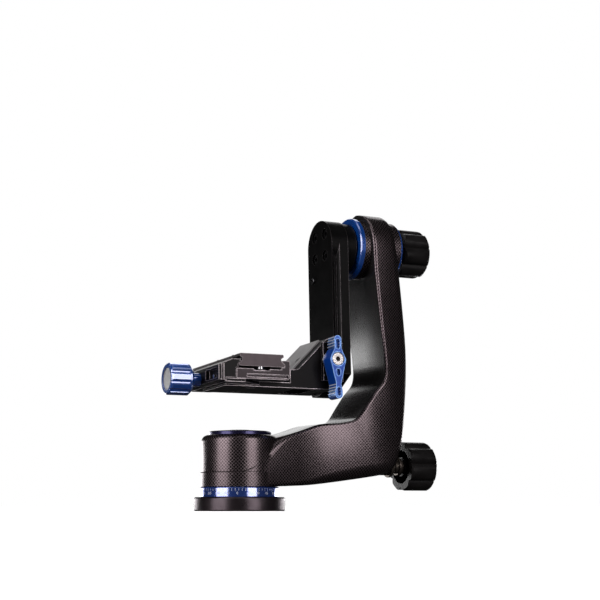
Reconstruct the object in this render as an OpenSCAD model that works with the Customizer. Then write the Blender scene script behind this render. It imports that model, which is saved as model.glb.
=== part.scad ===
// Gimbal head for a tripod: an L-shaped arm turns on a base, and a cradle hangs from its upper end.
// Origin: centre of the base's underside, on the pan axis. +Z up, +X towards the upright of the arm.

/* [Base] */
// Radius of the base plate
base_r = 34.8; // [33:0.1:38]
// Height of the base plate
base_h = 10.4; // [9:0.1:13]
// Radius of the blue scale ring
scale_r = 30.2; // [29.5:0.1:32]
// Height of the top of the scale ring above the floor
scale_top = 18; // [17:0.1:20]
// Radius of the 3/8 inch tripod thread
tripod_thread_r = 4.76; // [4.7:0.01:4.9]
// Depth of the tripod thread
tripod_thread_depth = 13; // [11:0.5:14]
// Number of screws that hold the spindle
base_screw_count = 3; // [2:1:6]

/* [Hub] */
// Radius of the hub above its seam
hub_r = 29.5; // [29:0.1:29.6]
// Radius of the hub below its seam
hub_skirt_r = 30.1; // [29.8:0.1:30.2]
// Height of the seam above the floor
seam_z = 29; // [26:0.5:32]
// Height of the hub's top above the floor
hub_top = 57.6; // [57:0.1:59]
// Rounding of the hub's upper edge
hub_round = 5.2; // [4:0.1:5.2]
// Radius of the cap in the top of the hub
cap_r = 24; // [22:0.2:24]
// Radius of the bore for the pan bearings
pan_bore_r = 15.05; // [14:0.05:16]
// Radius of the spindle
spindle_r = 8.5; // [7:0.1:9]

/* [Arm] */
// Half of the arm's depth, front to back
arm_half = 28.6; // [28:0.1:29]
// Height of the tilt axis above the floor
pivot_z = 210; // [205:0.5:216]
// Facets in each rounded corner of the arm
corner_steps = 5; // [3:1:6]

/* [Pan lock] */
// Height of the pan lock's axis
lock_z = 35; // [34:0.5:36]
// Distance from the pan axis to the back of the star knob
knob_x = 142.2; // [140:0.5:148]
// Radius of a star knob over its lobes
star_r = 20; // [16:0.5:22]
// Number of lobes on a star knob
star_lobes = 7; // [5:1:9]
// Length of a star knob
star_len = 24.5; // [18:0.5:25]

/* [Cradle] */
// How far the cradle is tipped back at rest, front end up
rest_tilt = 2.4; // [0:0.2:4]
// Near face of the upright rail
rail_x = 69; // [68:0.5:70]
// Thickness of the upright rail
rail_thick = 14.6; // [13:0.2:15]
// Half width of the upright rail
rail_half = 21; // [20:0.5:22]
// Height of the rail's foot above the floor
rail_foot = 90; // [86:0.5:94]

/* [Platform] */
// Underside of the platform bracket
bracket_z = 92; // [90:0.5:94]
// Half width of the platform bracket
bracket_half = 22; // [21:0.5:24]
// Length of the quick-release plate
plate_len = 100; // [80:1:110]
// Width of the quick-release plate across its dovetail
plate_w = 38; // [37:0.1:39]
// Underside of the quick-release plate
plate_z = 105.5; // [105:0.1:107]
// Thickness of the quick-release plate
plate_h = 9.5; // [9:0.1:11]
// Length of the clamp, front to back
clamp_len = 72; // [60:1:76]

/* [Knob and lever] */
// Radius of the blue clamp knob
clamp_knob_r = 12.1; // [11:0.1:13]
// Number of flutes on the clamp knob
flutes = 10; // [7:1:16]
// Height of the lever's axis
lever_z = 113.6; // [112:0.2:116]
// Reach of the lever's short arm
lever_up = 18.2; // [17:0.1:19]
// Reach of the lever's long arm
lever_down = 30.6; // [30:0.1:33]

/* [Hidden] */
$fn = 96;
eps = 0.01;
gap = 0.3;
run_clear = 0.05;
plate_y = -36;                      // front end of the quick-release plate and of the clamp
clamp_y = plate_y + 0.6;
knob_y = 2;                         // the clamp knob's axis sits just behind the middle
knob_z = 98.4;
lever_x = 62.4;
lever_front = -40;
lever_thick = 12;
rail_back = rail_x + rail_thick;
flange_r = 20;
flange_end = 93;
boss_in = 98;                       // flat faces of the arm round the tilt axis
boss_out = 131;
boss_r = 24;
axle_r = 9;
tilt_bore_r = 14.05;
slot_w = 6.6;
clamp_top = 110.6;
elbow_face = 129.5;
cap_seat = 53;

// Stations along the arm: X and Z on the inside of the bend, X and Z on the outside,
// the corner radius on the inside and on the outside, and half the depth on the inside and on the outside.
arm_stations = [
    [-6, 50, -6, 18.6, 22, 2, 27.6, 27.6],
    [8, 52.6, 8, 18.4, 19.6, 2, 28.3, 28.3],
    [17, 54.6, 19, 18.4, 12, 2.5, 26.8, 26.5],
    [28, 57.1, 32, 18.8, 5, 3, 24.8, 24.2],
    [43.5, 61.6, 50, 19.6, 3.2, 5, 22.4, 21.8],
    [58.5, 66.4, 68, 21.4, 2.8, 8, 21.8, 21.6],
    [74, 67.8, 87, 23.8, 2.6, 10, 23.4, 24],
    [82.6, 69.2, 104, 26.2, 2.6, 11, 25.2, 25.6],
    [88.8, 72.2, 116, 28.4, 2.6, 11, 26.8, 25.6],
    [96.5, 82.6, 125.4, 33.4, 2.6, 10, 28.2, 24],
    [104.5, 93.5, 130, 43.5, 2.6, 9, arm_half, 23],
    [111, 101, 132.8, 55, 2.6, 8.5, arm_half, 22.8],
    [113.4, 109, 134.3, 70, 2.6, 8, arm_half, 22.8],
    [112.8, 120, 136.8, 99, 2.6, 8, arm_half, 22.8],
    [110, 142, 137.2, 127, 2.6, 8, arm_half, 22.8],
    [107, 168, 134.6, 158, 2.6, 8, arm_half, 23.4],
    [104.6, 190, 131, 186, 2.6, 8, arm_half, 25],
    [103.4, 210, 128, 210, 2.6, 8, arm_half, 26]
];
sub_steps = 3;
cap_angles = [18, 36, 52, 66, 78, 86];

// ---- shared shapes ----

// A cylinder along X, from x0 to x1.
module rod_x(x0, x1, r, y = 0, z = 0)
    translate([x0, y, z]) rotate([0, 90, 0]) cylinder(h = x1 - x0, r = r);

// A cylinder along Y, from y0 to y1.
module rod_y(y0, y1, r, x = 0, z = 0)
    translate([x, y1, z]) rotate([90, 0, 0]) cylinder(h = y1 - y0, r = r);

// A cylinder along Z, from z0 to z1.
module rod_z(z0, z1, r, x = 0, y = 0)
    translate([x, y, z0]) cylinder(h = z1 - z0, r = r);

// A turned disc on the Z axis with bevelled outer edges.
module disc_z(z0, z1, r, bevel_low, bevel_high)
    rotate_extrude() polygon([
        [0, z0], [r - bevel_low, z0], [r, z0 + bevel_low],
        [r, z1 - bevel_high], [r - bevel_high, z1], [0, z1]
    ]);

// The same disc with its axis along X.
module disc_x(x0, x1, r, bevel_low, bevel_high, y = 0, z = 0)
    translate([x0, y, z]) rotate([0, 90, 0]) disc_z(0, x1 - x0, r, bevel_low, bevel_high);

// A box given by its two corners.
module block(low, high)
    translate(low) cube(high - low);

// A socket-head screw along Z: head of radius head_r on top, shank below, hexagon in the head.
module cap_screw(head_r, head_h, shank_r, shank_len, socket_r)
    difference() {
        union() {
            disc_z(0, head_h, head_r, eps, 0.4);
            rod_z(-shank_len, eps, shank_r);
        }
        translate([0, 0, head_h * 0.45]) cylinder(h = head_h, r = socket_r, $fn = 6);
    }

// Everything that tilts is drawn level and tipped back about the tilt axis.
module swing()
    translate([0, 0, pivot_z]) rotate([-rest_tilt, 0, 0]) translate([0, 0, -pivot_z]) children();

// Star knob with its axis along +X: hollow back at 0, rounded end at star_len.
lobe_r = 7.2;
core_r = 15.8;
star_turn = 4;                      // how far the knob is turned at rest
module star_knob(bore_r)
    difference() {
        intersection() {
            union() {
                rod_x(0, star_len, core_r);
                for (i = [0 : star_lobes - 1])
                    rotate([star_turn + 360 * i / star_lobes, 0, 0])
                        rod_x(0, star_len, lobe_r, 0, star_r - lobe_r);
            }
            rotate([0, 90, 0]) rotate_extrude() {
                polygon([
                    [0, 0], [star_r - 1.4, 0], [star_r + eps, 1.6], [star_r + eps, star_len - 4.5],
                    [star_r - 0.9, star_len - 2.2], [star_r - 2.6, star_len - 0.8],
                    [star_r - 5, star_len - 0.2], [star_r - 8, star_len], [0, star_len]
                ]);
            }
        }
        difference() {
            rod_x(-1, 9, 13.4);
            rod_x(-2, 10, 7.6);
        }
        rod_x(-1, 12, bore_r);
    }

// ---- base ----

spindle_root_r = 12;
nut_z = 51.6;
spindle_flange_r = 20;
base_screw_at = 16;

module base_plate()
    color([0.09, 0.08, 0.09])
    difference() {
        disc_z(0, base_h, base_r, 0.8, 1);
        rod_z(-1, base_h + 1, spindle_root_r + run_clear);
        for (i = [0 : base_screw_count - 1]) rotate(360 * i / base_screw_count) {
            rod_z(-1, base_h + 1, 2.2, base_screw_at);
            rod_z(-1, 4.4, 2.9 + 0.9, base_screw_at);
        }
        // anti-slip groove in the underside
        difference() {
            rod_z(-1, 0.5, base_r - 3);
            rod_z(-2, 1, base_r - 6);
        }
    }

module tripod_bush()
    color([0.72, 0.72, 0.74])
    difference() {
        rod_z(0, tripod_thread_depth + 1.5, 7.4);
        rod_z(-1, tripod_thread_depth, tripod_thread_r);
    }

module pan_spindle()
    color([0.62, 0.62, 0.64])
    difference() {
        union() {
            rod_z(0.4, base_h, spindle_root_r);
            rod_z(base_h, 13.8, spindle_flange_r);
            rod_z(13.7, nut_z - 0.1, spindle_r);
            rod_z(nut_z - 0.2, nut_z + 4.6, 6);
        }
        rod_z(-1, tripod_thread_depth + 1.6, 7.45);
        for (i = [0 : base_screw_count - 1])
            rotate(360 * i / base_screw_count) rod_z(base_h - 1, 15, 2.05, base_screw_at);
    }

module base_screws()
    color([0.2, 0.2, 0.21])
    for (i = [0 : base_screw_count - 1])
        rotate(360 * i / base_screw_count)
            translate([base_screw_at, 0, 4.2]) rotate([180, 0, 0])
                cap_screw(3.6, 3.4, 1.98, 9.2, 1.6);

module scale_ring()
    color([0.02, 0.2, 0.78])
    difference() {
        disc_z(base_h, scale_top, scale_r, 0.3, 0.8);
        rod_z(base_h - 1, scale_top + 1, spindle_flange_r + run_clear);
    }

module spindle_nut()
    color([0.7, 0.68, 0.62])
    difference() {
        disc_z(nut_z, nut_z + 4, 12, 0.4, 0.6);
        rod_z(nut_z - 1, nut_z + 5, 6 + run_clear);
        for (a = [0, 90])
            rotate(a) block([-13, -1.5, nut_z + 2.4], [13, 1.5, nut_z + 5]);
    }

// ---- arm ----

// Smooth curve through the stations, one step at a time.
function curve(a, b, c, d, t) =
    0.5 * (2 * b + (c - a) * t + (2 * a - 5 * b + 4 * c - d) * t * t + (3 * b - a - 3 * c + d) * t * t * t);

function station(i) = arm_stations[max(0, min(len(arm_stations) - 1, i))];

arm_path = concat(
    [for (i = [0 : len(arm_stations) - 2], k = [0 : sub_steps - 1])
        curve(station(i - 1), station(i), station(i + 1), station(i + 2), k / sub_steps)],
    [station(len(arm_stations) - 1)]
);

// One ring of the arm: a rounded, tapering rectangle between the inside point and the outside point.
function ring(s) =
    let (
        half = s[6],
        dx = s[2] - s[0], dz = s[3] - s[1], w = sqrt(dx * dx + dz * dz),
        ri = min(s[4], half - 0.2, w / 2), ro = min(s[5], half - 0.2, w / 2),
        flat = [
            for (k = [0 : corner_steps]) let (a = 180 + 90 * k / corner_steps)
                [ri + ri * cos(a), -half + ri + ri * sin(a)],
            for (k = [0 : corner_steps]) let (a = 270 + 90 * k / corner_steps)
                [w - ro + ro * cos(a), -half + ro + ro * sin(a)],
            for (k = [0 : corner_steps]) let (a = 90 * k / corner_steps)
                [w - ro + ro * cos(a), half - ro + ro * sin(a)],
            for (k = [0 : corner_steps]) let (a = 90 + 90 * k / corner_steps)
                [ri + ri * cos(a), half - ri + ri * sin(a)]
        ]
    )
    [for (p = flat) [s[0] + p[0] * dx / w, p[1] * (1 + (s[7] / s[6] - 1) * p[0] / w), s[1] + p[0] * dz / w]];

// The rounded upper end of the arm, swept about the tilt axis.
function end_station(a) =
    let (rise = arm_half * sin(a), last = arm_stations[len(arm_stations) - 1])
    [last[0] - 0.04 * rise, pivot_z + rise, last[2] - 0.1 * rise, pivot_z + rise, last[4], last[5],
        last[6] * cos(a), last[7] * cos(a)];

arm_rings = concat(
    [for (s = arm_path) ring(s)],
    [for (a = cap_angles) ring(end_station(a))]
);
ring_size = len(arm_rings[0]);
ring_count = len(arm_rings);

// Skin of the arm: quads between the rings, as triangles, and a flat cap at each end.
module arm_sweep()
    polyhedron(
        points = [for (r = arm_rings) for (p = r) p],
        faces = concat(
            [for (j = [0 : ring_count - 2], i = [0 : ring_size - 1])
                [j * ring_size + i, (j + 1) * ring_size + i, (j + 1) * ring_size + (i + 1) % ring_size]],
            [for (j = [0 : ring_count - 2], i = [0 : ring_size - 1])
                [j * ring_size + i, (j + 1) * ring_size + (i + 1) % ring_size, j * ring_size + (i + 1) % ring_size]],
            [[for (i = [0 : ring_size - 1]) i]],
            [[for (i = [ring_size - 1 : -1 : 0]) (ring_count - 1) * ring_size + i]]
        )
    );

module hub_body()
    rotate_extrude() polygon(concat(
        [[0, scale_top + gap], [hub_skirt_r, scale_top + gap], [hub_skirt_r, seam_z], [hub_r, seam_z + 0.4]],
        [for (a = [0 : 15 : 90])
            [hub_r - hub_round + hub_round * cos(a), hub_top - hub_round + hub_round * sin(a)]],
        [[0, hub_top]]
    ));

module arm()
    color([0.14, 0.12, 0.12])
    difference() {
        union() {
            hub_body();
            arm_sweep();
            rod_x(boss_in, boss_out, boss_r, 0, pivot_z);
            rod_x(110, elbow_face, 6.9, 0, lock_z);
        }
        rod_z(0, cap_seat + 1, pan_bore_r);
        rod_z(cap_seat, hub_top + 3, cap_r + run_clear);
        rod_x(10, 26, 5.1, 0, lock_z);
        rod_x(24, elbow_face + 1, 3.6, 0, lock_z);
        rod_x(elbow_face - 12, elbow_face + 4, 5.55, 0, lock_z);
        rod_x(elbow_face, elbow_face + 6, 9, 0, lock_z);
        rod_x(boss_in - 1, boss_out + 1, axle_r + 0.6, 0, pivot_z);
        rod_x(boss_in - 1, boss_in + 8, tilt_bore_r, 0, pivot_z);
        rod_x(boss_out - 8, boss_out + 1, tilt_bore_r, 0, pivot_z);
    }

// A sealed ball bearing along Z: ring with a shallow shield groove in each face.
module bearing(r_out, r_in, h)
    rotate_extrude() {
        mid = (r_out + r_in) / 2;
        polygon([
            [r_in, 0], [mid - 1.8, 0], [mid - 1.8, 0.4], [mid + 1.8, 0.4], [mid + 1.8, 0], [r_out, 0],
            [r_out, h], [mid + 1.8, h], [mid + 1.8, h - 0.4], [mid - 1.8, h - 0.4], [mid - 1.8, h], [r_in, h]
        ]);
    }

bearing_at = [19, 44];
bearing_h = 7.2;
module pan_bearings()
    color([0.75, 0.75, 0.77])
    for (z = bearing_at)
        translate([0, 0, z]) bearing(pan_bore_r - run_clear, spindle_r + run_clear, bearing_h);

module bearing_spacer()
    color([0.6, 0.6, 0.62])
    difference() {
        rod_z(bearing_at[0] + bearing_h + 0.1, bearing_at[1] - 0.1, pan_bore_r - run_clear);
        rod_z(bearing_at[0], bearing_at[1] + 1, 12);
        rod_x(0, 20, 5.4, 0, lock_z);
    }

level_r = 8.5;
cap_top = hub_top + 2.8;
module hub_cap()
    color([0.16, 0.14, 0.42])
    difference() {
        rotate_extrude() polygon([
            [0, cap_seat + 0.1], [cap_r, cap_seat + 0.1], [cap_r, cap_top - 1], [cap_r - 1, cap_top - 0.1],
            [17, cap_top + 0.3], [0, cap_top + 0.5]
        ]);
        rod_z(cap_top - 1.8, cap_top + 2, level_r + run_clear);
        rod_z(cap_seat - 1, nut_z + 5.4, 14);
    }

module level_housing()
    color([0.5, 0.5, 0.52])
    difference() {
        disc_z(cap_top - 1.7, cap_top + 1, level_r, 0.2, 0.4);
        rod_z(cap_top - 1, cap_top + 2, level_r - 1.5);
    }

module level_vial()
    color([0.75, 0.85, 0.25])
    disc_z(cap_top - 0.95, cap_top + 0.8, level_r - 1.6, 0.1, 0.5);

module pan_lock_boss()
    color([0.5, 0.47, 0.42])
    difference() {
        union() {
            rod_x(elbow_face - 11.9, elbow_face + 3, 5.5, 0, lock_z);
            disc_x(elbow_face + 0.1, elbow_face + 3, 8.6, 0.2, 0.8, 0, lock_z);
        }
        rod_x(elbow_face - 13, elbow_face + 5, 3 + 0.08, 0, lock_z);
    }

module tilt_bearings()
    color([0.75, 0.75, 0.77])
    for (x = [boss_in + 0.2, boss_out - 7.8])
        translate([x, 0, pivot_z]) rotate([0, 90, 0])
            bearing(tilt_bore_r - run_clear, axle_r + run_clear, 7.6);

module tilt_ring()
    color([0.02, 0.2, 0.78])
    difference() {
        disc_x(boss_in - 4.4, boss_in, boss_r + 1, 0.8, 0.3, 0, pivot_z);
        rod_x(boss_in - 6, boss_in + 1, 14.5, 0, pivot_z);
    }

module tilt_outer_ring()
    color([0.02, 0.2, 0.78])
    difference() {
        disc_x(boss_out, boss_out + 2.4, boss_r - 1, 0.3, 0.8, 0, pivot_z);
        rod_x(boss_out - 1, boss_out + 4, 14.5, 0, pivot_z);
    }

// ---- pan lock ----

rod_r = 3;
module pan_brake_shoe()
    color([0.83, 0.7, 0.36])
    difference() {
        rod_x(6, 24, 5, 0, lock_z);
        rod_z(lock_z - 8, lock_z + 8, spindle_r + 0.15);
    }

module pan_lock_rod()
    color([0.68, 0.68, 0.7])
    rod_x(24, knob_x + 11, rod_r, 0, lock_z);

module pan_lock_collar()
    color([0.55, 0.5, 0.46])
    difference() {
        union() {
            disc_x(elbow_face + 5.5, knob_x + 0.6, 5.4, 0.5, 0.2, 0, lock_z);
            disc_x(elbow_face + 8, elbow_face + 11, 7.4, 0.5, 0.5, 0, lock_z);
        }
        rod_x(elbow_face, knob_x + 2, rod_r + run_clear, 0, lock_z);
    }

module pan_lock_knob()
    color([0.1, 0.1, 0.11])
    difference() {
        translate([knob_x, 0, lock_z]) star_knob(rod_r + run_clear);
        rod_x(knob_x - 1, knob_x + 0.8, 5.6, 0, lock_z);
    }

// ---- cradle ----

rail_screw_at = 12.5;
stop_screw_z = [rail_foot + 5.5, pivot_z - 26];
stop_screw_y = 12;
lip = 2.6;                          // depth of the dovetail along each edge of the rail
lip_start = 3;

// Plan of the rail: a dovetail lip on the near face, then the full body.
module rail_plan()
    polygon([
        [rail_x, -rail_half], [rail_x + lip_start, -rail_half + lip], [rail_x + lip_start + 2, -rail_half + lip],
        [rail_x + lip_start + 4, -rail_half], [rail_back, -rail_half],
        [rail_back, rail_half], [rail_x + lip_start + 4, rail_half],
        [rail_x + lip_start + 2, rail_half - lip], [rail_x + lip_start, rail_half - lip], [rail_x, rail_half]
    ]);

foot_flat = 6;                      // where the long bevel of the foot starts
foot_high = 105;
module cradle_rail()
    color([0.07, 0.07, 0.08]) swing()
    difference() {
        union() {
            translate([0, 0, rail_foot]) linear_extrude(pivot_z - rail_foot) rail_plan();
            rod_x(rail_x, rail_back, rail_half, 0, pivot_z);
        }
        // long bevel on the front of the foot, short one on its back
        translate([rail_x - 1, 0, 0]) rotate([90, 0, 90]) linear_extrude(rail_thick + 2) {
            polygon([[foot_flat, rail_foot - 1], [foot_flat, rail_foot], [-rail_half - 1, foot_high + 0.5],
                [-rail_half - 1, rail_foot - 1]]);
            polygon([[rail_half - 3, rail_foot - 1], [rail_half - 3, rail_foot], [rail_half + 1, rail_foot + 4],
                [rail_half + 1, rail_foot - 1]]);
        }
        // sockets of the screws that hold the rail to the flange
        for (a = [45 : 90 : 315])
            translate([0, 0, pivot_z]) rotate([a, 0, 0]) {
                rod_x(rail_x - 1, rail_back + 1, 2.6, 0, rail_screw_at);
                rod_x(rail_x - 1, rail_x + 5.6, 4.4, 0, rail_screw_at);
            }
        // stop screws, top and bottom
        for (z = stop_screw_z)
            rod_x(rail_x - 1, rail_x + 8, 2.05, stop_screw_y, z);
    }

module tilt_flange()
    color([0.09, 0.09, 0.1]) swing()
    difference() {
        disc_x(rail_back, flange_end, flange_r, 0.4, 1, 0, pivot_z);
        for (a = [45 : 90 : 315])
            translate([0, 0, pivot_z]) rotate([a, 0, 0])
                rod_x(rail_back - 1, rail_back + 7, 2.55, 0, rail_screw_at);
    }

axle_end = boss_out + 4;
module tilt_axle()
    color([0.68, 0.68, 0.7]) swing()
    union() {
        rod_x(flange_end, axle_end, axle_r, 0, pivot_z);
        rod_x(axle_end - eps, axle_end + 20, 4, 0, pivot_z);
    }

module rail_screws()
    color([0.25, 0.25, 0.26]) swing()
    for (a = [45 : 90 : 315])
        translate([rail_x + 5.5, 0, pivot_z]) rotate([a, 0, 0])
            translate([0, 0, rail_screw_at]) rotate([0, -90, 0]) cap_screw(4.2, 4.4, 2.5, 14.6, 2.1);

module rail_stop_screws()
    color([0.25, 0.25, 0.26]) swing()
    for (z = stop_screw_z)
        translate([rail_x, stop_screw_y, z]) rotate([0, -90, 0]) cap_screw(2.6, 1.6, 2, 7, 1.2);

module tilt_lock_washer()
    color([0.55, 0.5, 0.46]) swing()
    difference() {
        disc_x(axle_end + 0.6, axle_end + 2.6, 12, 0.3, 0.3, 0, pivot_z);
        rod_x(axle_end, axle_end + 4, 4 + run_clear, 0, pivot_z);
    }

tilt_knob_x = axle_end + 3;
module tilt_lock_nut()
    color([0.8, 0.68, 0.4]) swing()
    difference() {
        rod_x(tilt_knob_x + 1, tilt_knob_x + 12, 6, 0, pivot_z);
        rod_x(tilt_knob_x, tilt_knob_x + 13, 4 + run_clear, 0, pivot_z);
    }

module tilt_lock_knob()
    color([0.1, 0.1, 0.11]) swing()
    difference() {
        translate([tilt_knob_x, 0, pivot_z]) star_knob(6 + run_clear);
        rod_x(tilt_knob_x + 11, tilt_knob_x + 18, 4.3, 0, pivot_z);
    }

// ---- platform ----

block_x = rail_x - 0.4;
deck_top = bracket_z + 4;
block_top = 131.5;
slope_x = 37;
slope_z = 106.8;
slope_end = 62;

// Side view of the bracket: thin deck, sloping gusset and the block against the rail.
module bracket_side()
    polygon([
        [-24, bracket_z], [block_x, bracket_z], [block_x, block_top], [slope_end, block_top],
        [slope_x, slope_z], [30, slope_z - 0.8], [30, deck_top], [-24, deck_top]
    ]);

jaw_grip = 7;
module platform_bracket()
    color([0.08, 0.08, 0.09]) swing()
    difference() {
        union() {
            translate([0, bracket_half, 0]) rotate([90, 0, 0]) linear_extrude(2 * bracket_half) bracket_side();
            // wings that carry the long clamp
            linear_extrude_deck();
            // fixed jaw behind the rail
            translate([0, 0, bracket_z + 4]) linear_extrude(block_top - bracket_z - 6)
                polygon([
                    [block_x - 8, bracket_half - 1], [block_x, bracket_half - 1], [rail_x + 0.4, rail_half + 0.1],
                    [rail_x + lip_start - 0.1, rail_half - lip + 0.4], [rail_x + lip_start + 1.8, rail_half - lip + 0.4],
                    [rail_x + lip_start + 3.4, rail_half + 0.2], [rail_x + jaw_grip, rail_half + 5],
                    [rail_x + jaw_grip - 1, rail_half + 6.5], [block_x - 8, rail_half + 6.5]
                ]);
        }
        // bore of the lever's screw
        rod_y(-bracket_half - 1, bracket_half + 1, 4.1, lever_x, lever_z);
        // holes for the clamp's screws, with sunk heads below
        for (y = clamp_screw_y) {
            rod_z(bracket_z - 1, deck_top + 1, 2.2, 0, y);
            rod_z(bracket_z - 1, bracket_z + 2.3, 4, 0, y);
        }
        // screws of the sloping cover
        for (y = cover_screw_y)
            on_slope() rod_z(-8, 1, 1.55, cover_screw_at, y);
        // relief pocket under the gusset
        block([36, -14, bracket_z - 1], [54, 14, bracket_z + 9]);
        // channel that clears the clamp bolt
        rod_x(-30, 18, 3.2, knob_y, knob_z);
        // groove that rides on the rail's lower stop screw
        block([block_x - 2.6, stop_screw_y - 3, bracket_z - 1], [block_x + 1, stop_screw_y + 3, stop_screw_z[0] + 3]);
    }

// Deck in plan: as wide as the bracket by the rail, flared out under the clamp.
module linear_extrude_deck()
    translate([0, 0, bracket_z + 1.5]) linear_extrude(deck_top - bracket_z - 1.5)
        polygon([
            [-29, clamp_y + 1], [-13, clamp_y + 1], [4, -bracket_half], [8, -bracket_half],
            [8, bracket_half], [4, bracket_half], [-13, clamp_len + clamp_y - 1], [-29, clamp_len + clamp_y - 1]
        ]);

slope_angle = atan2(block_top - slope_z, slope_end - slope_x);
slope_len = sqrt(pow(slope_end - slope_x, 2) + pow(block_top - slope_z, 2));
cover_front = -11.5;
cover_screw_y = [-5, 16];
cover_screw_at = 12;

// Places children on the slope: X runs up it, Z stands off it.
module on_slope()
    translate([slope_x, 0, slope_z]) rotate([0, -slope_angle, 0]) children();

module gusset_cover()
    color([0.42, 0.42, 0.43]) swing()
    on_slope() difference() {
        block([0, cover_front, 0.02], [slope_len - 0.5, bracket_half - 0.4, 1.6]);
        for (y = cover_screw_y) {
            rod_z(-1, 3, 1.6, cover_screw_at, y);
            rod_z(0.7, 3, 2.9, cover_screw_at, y);
        }
    }

module cover_screws()
    color([0.3, 0.3, 0.31]) swing()
    for (y = cover_screw_y)
        on_slope() translate([cover_screw_at, y, 0.75]) cap_screw(2.7, 0.7, 1.45, 7, 1.1);

// ---- clamp ----

fixed_jaw_x = plate_w / 2 + run_clear;
clamp_floor = 102;
guide_y = [knob_y - 24, knob_y + 24];
clamp_screw_y = [-14, 14];

bar_top = 103.6;
pocket_half = 6.5;
module clamp_base()
    color([0.08, 0.08, 0.09]) swing()
    difference() {
        translate([0, clamp_y + clamp_len, 0]) rotate([90, 0, 0]) linear_extrude(clamp_len)
            polygon([
                [-20.5, deck_top], [22, deck_top], [23.5, deck_top + 2], [23.5, clamp_top - 1], [22.5, clamp_top],
                [fixed_jaw_x - 1.6, clamp_top], [fixed_jaw_x - 2.4, plate_z + 4.1], [fixed_jaw_x, plate_z + 1.6],
                [fixed_jaw_x, plate_z - 0.1], [fixed_jaw_x - 2.6, plate_z - 0.1], [fixed_jaw_x - 2.6, bar_top],
                [-20.5, bar_top]
            ]);
        // wide groove across the front face and the back face
        for (y = [clamp_y - 1, clamp_y + clamp_len - 2])
            block([-12, y, deck_top + 1.4], [22, y + 3, deck_top + 3.6]);
        // channel between the end bars, and a pocket in the front bar for the plate's stop screw
        block([-14, clamp_y + 7.4, clamp_floor], [14, clamp_y + clamp_len - 5, bar_top + 1]);
        block([-pocket_half, clamp_y - 1, bar_top - 1.2], [pocket_half, clamp_y + 5.2, bar_top + 1]);
        // bore of the clamp bolt and of the guide pins
        rod_x(-30, 18, 3.2, knob_y, knob_z);
        for (y = guide_y) rod_x(-30, 12, 1.55, y, knob_z);
        // threads of the screws from below
        for (y = clamp_screw_y) rod_z(deck_top - 1, deck_top + 4, 2.05, 0, y);
    }

module clamp_base_screws()
    color([0.25, 0.25, 0.26]) swing()
    for (y = clamp_screw_y)
        translate([0, y, bracket_z + 2.2]) rotate([180, 0, 0]) cap_screw(3.8, 2.1, 2, 4.8, 1.6);

module guide_pins()
    color([0.7, 0.7, 0.72]) swing()
    for (y = guide_y) rod_x(-33.5, 11.5, 1.5, y, knob_z);

jaw_out = -35;
jaw_in = -20.8;
module clamp_jaw()
    color([0.08, 0.08, 0.09]) swing()
    difference() {
        translate([0, clamp_y + clamp_len, 0]) rotate([90, 0, 0]) linear_extrude(clamp_len)
            polygon([
                [jaw_out, deck_top - 1.6], [jaw_in - 8.2, deck_top - 1.6], [jaw_in - 8.2, deck_top + gap],
                [jaw_in, deck_top + gap], [jaw_in, bar_top + 0.5], [-fixed_jaw_x, bar_top + 0.5],
                [-fixed_jaw_x, plate_z + 1.6], [-fixed_jaw_x + 2.4, plate_z + 4.1],
                [-fixed_jaw_x + 1.6, clamp_top], [-fixed_jaw_x - 5, clamp_top], [jaw_out, plate_z + 0.4]
            ]);
        // pockets in the outer side, on each side of the knob
        for (y = [clamp_y + 3.2, knob_y + 9])
            block([jaw_out - 1, y, deck_top + 0.4], [jaw_out + 3.4, y + 22, plate_z - 1.6]);
        // grooves that leave two upright ribs at each end
        for (y = [clamp_y - 1, clamp_y + clamp_len - 1.4])
            block([jaw_out + 2.6, y, deck_top - 2.6], [jaw_out + 4, y + 2.4, plate_z + 3]);
        rod_x(jaw_out - 1, jaw_in + 4, 3.2, knob_y, knob_z);
        for (y = guide_y) rod_x(jaw_out + 1, jaw_in + 4, 1.56, y, knob_z);
    }

collar_end = -43;
module knob_collar()
    color([0.05, 0.25, 0.8]) swing()
    difference() {
        disc_x(collar_end, jaw_out, 5.2, 0.3, 0.3, knob_y, knob_z);
        rod_x(collar_end - 1, jaw_out + 1, 3.2, knob_y, knob_z);
    }

knob_len = 18.4;
knob_out = collar_end - 0.3 - knob_len;
flute_turn = 34;
flute_r = 2.4;
flute_depth = 1.2;
module clamp_knob()
    color([0.05, 0.25, 0.8]) swing()
    difference() {
        disc_x(knob_out, collar_end - 0.3, clamp_knob_r, 1.2, 2, knob_y, knob_z);
        for (i = [0 : flutes - 1])
            translate([0, knob_y, knob_z]) rotate([flute_turn + 360 * i / flutes, 0, 0])
                rod_x(knob_out - 1, collar_end - 3.4, flute_r, 0, clamp_knob_r + flute_r - flute_depth);
        rod_x(knob_out - 1, knob_out + 1.6, 8.6, knob_y, knob_z);
        rod_x(knob_out, collar_end + 1, 3 + run_clear, knob_y, knob_z);
    }

module clamp_knob_cap()
    color([0.78, 0.78, 0.8]) swing()
    disc_x(knob_out + 0.5, knob_out + 1.6, 8.5, 0.3, 0.1, knob_y, knob_z);

module clamp_bolt()
    color([0.68, 0.68, 0.7]) swing()
    rod_x(knob_out + 1.7, 14, 3, knob_y, knob_z);

// ---- height lock ----

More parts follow.
